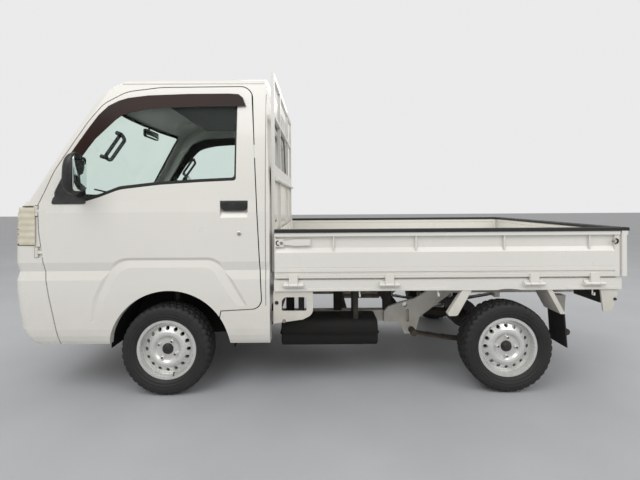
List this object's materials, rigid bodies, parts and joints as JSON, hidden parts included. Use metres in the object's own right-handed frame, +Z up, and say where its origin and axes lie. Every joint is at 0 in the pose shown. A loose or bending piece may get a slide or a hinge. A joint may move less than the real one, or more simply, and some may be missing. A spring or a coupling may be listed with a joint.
{
  "type": "kei truck",
  "caption": "Small cab-over pickup truck with a short sloping nose, two hinged doors, a guard frame behind the cab and a drop-side cargo bed.",
  "frame": {"origin": "middle of the overall length, on the centre line, at ground level under the tyres", "axes": "+X towards the tailgate, the nose points to -X; +Y to the truck's right-hand side; +Z up"},
  "size_m": [3.3949, 1.794, 1.806],
  "materials": {
    "body_paint": "gloss",
    "tyre": "matte",
    "wheel_steel": "satin",
    "glass": "gloss",
    "lamp_lens": "gloss",
    "tail_lens": "gloss",
    "smoked_plastic": "gloss",
    "black_plastic": "matte",
    "black_rubber": "matte",
    "seat_cloth": "matte",
    "interior_plastic": "matte",
    "dark_metal": "satin",
    "floor_mat": "matte"
  },
  "bodies": {
    "chassis": {"bed_deck": "body_paint", "bumper_grille": "black_plastic", "cab_floor": "floor_mat", "cab_glass": "glass", "cab_sills": "body_paint", "chassis_rails": "body_paint", "cross_members": "body_paint", "dashboard": "interior_plastic", "drive_axle": "dark_metal", "engine": "dark_metal", "exhaust": "dark_metal", "front_bumper": "body_paint", "front_panel": "body_paint", "front_suspension": "dark_metal", "fuel_tank": "black_plastic", "guard_frame": "body_paint", "headboard": "body_paint", "headlamps": "lamp_lens", "leaf_springs": "dark_metal", "mud_flaps": "black_plastic", "rear_beam": "body_paint", "rear_panel": "body_paint", "roof_panel": "body_paint", "seats": "seat_cloth", "side_sills": "body_paint", "spring_hangers": "body_paint", "tail_lamps": "tail_lens", "under_bed_brackets": "body_paint", "wheel_housings": "black_plastic", "windscreen_pillars": "body_paint"},
    "door_left": {"door_left_glass": "glass", "door_left_panel": "body_paint", "door_left_trim": "black_plastic", "door_left_visor": "smoked_plastic"},
    "door_right": {"door_right_glass": "glass", "door_right_panel": "body_paint", "door_right_trim": "black_plastic", "door_right_visor": "smoked_plastic"},
    "gate_left": {"gate_left_cap": "black_rubber", "gate_left_panel": "body_paint"},
    "gate_right": {"gate_right_cap": "black_rubber", "gate_right_panel": "body_paint"},
    "tailgate": {"tailgate_cap": "black_rubber", "tailgate_panel": "body_paint"},
    "knuckle_left": {"knuckle_left": "dark_metal"},
    "knuckle_right": {"knuckle_right": "dark_metal"},
    "wheel_fl": {"wheel_fl_rim": "wheel_steel", "wheel_fl_tyre": "tyre"},
    "wheel_fr": {"wheel_fr_rim": "wheel_steel", "wheel_fr_tyre": "tyre"},
    "wheel_rl": {"wheel_rl_rim": "wheel_steel", "wheel_rl_tyre": "tyre"},
    "wheel_rr": {"wheel_rr_rim": "wheel_steel", "wheel_rr_tyre": "tyre"},
    "steering_wheel": {"steering_wheel": "interior_plastic"}
  },
  "joints": [
    {"name": "door_left_hinge", "type": "hinge", "parent": "chassis", "child": "door_left", "pos_m": [-1.556, -0.729, 0.9], "axis": [0, 0, -1], "range_deg": [0, 65]},
    {"name": "door_right_hinge", "type": "hinge", "parent": "chassis", "child": "door_right", "pos_m": [-1.556, 0.729, 0.9], "axis": [0, 0, 1], "range_deg": [0, 65]},
    {"name": "gate_left_hinge", "type": "hinge", "parent": "chassis", "child": "gate_left", "pos_m": [0.69, -0.733, 0.61], "axis": [1, 0, 0], "range_deg": [0, 178]},
    {"name": "gate_right_hinge", "type": "hinge", "parent": "chassis", "child": "gate_right", "pos_m": [0.69, 0.733, 0.61], "axis": [-1, 0, 0], "range_deg": [0, 178]},
    {"name": "tailgate_hinge", "type": "hinge", "parent": "chassis", "child": "tailgate", "pos_m": [1.689, 0, 0.61], "axis": [0, 1, 0], "range_deg": [0, 178]},
    {"name": "steer_left", "type": "hinge", "parent": "chassis", "child": "knuckle_left", "pos_m": [-0.8625, -0.6, 0.25], "axis": [0, 0, 1], "range_deg": [-35, 35]},
    {"name": "steer_right", "type": "hinge", "parent": "chassis", "child": "knuckle_right", "pos_m": [-0.8625, 0.6, 0.25], "axis": [0, 0, 1], "range_deg": [-35, 35]},
    {"name": "steering_wheel_turn", "type": "hinge", "parent": "chassis", "child": "steering_wheel", "pos_m": [-1.18, 0.34, 1.01], "axis": [0.7431, 0, 0.6691], "range_deg": [-560, 560]},
    {"name": "wheel_fl_spin", "type": "hinge", "parent": "knuckle_left", "child": "wheel_fl", "pos_m": [-0.8625, -0.65, 0.25], "axis": [0, 1, 0], "continuous": true},
    {"name": "wheel_fr_spin", "type": "hinge", "parent": "knuckle_right", "child": "wheel_fr", "pos_m": [-0.8625, 0.65, 0.25], "axis": [0, 1, 0], "continuous": true},
    {"name": "wheel_rl_spin", "type": "hinge", "parent": "chassis", "child": "wheel_rl", "pos_m": [1.0375, -0.65, 0.25], "axis": [0, 1, 0], "continuous": true},
    {"name": "wheel_rr_spin", "type": "hinge", "parent": "chassis", "child": "wheel_rr", "pos_m": [1.0375, 0.65, 0.25], "axis": [0, 1, 0], "continuous": true}
  ],
  "couplings": [
    {"joint": "steer_right", "follows": "steer_left", "ratio": 1},
    {"joint": "steering_wheel_turn", "follows": "steer_left", "ratio": 16}
  ]
}
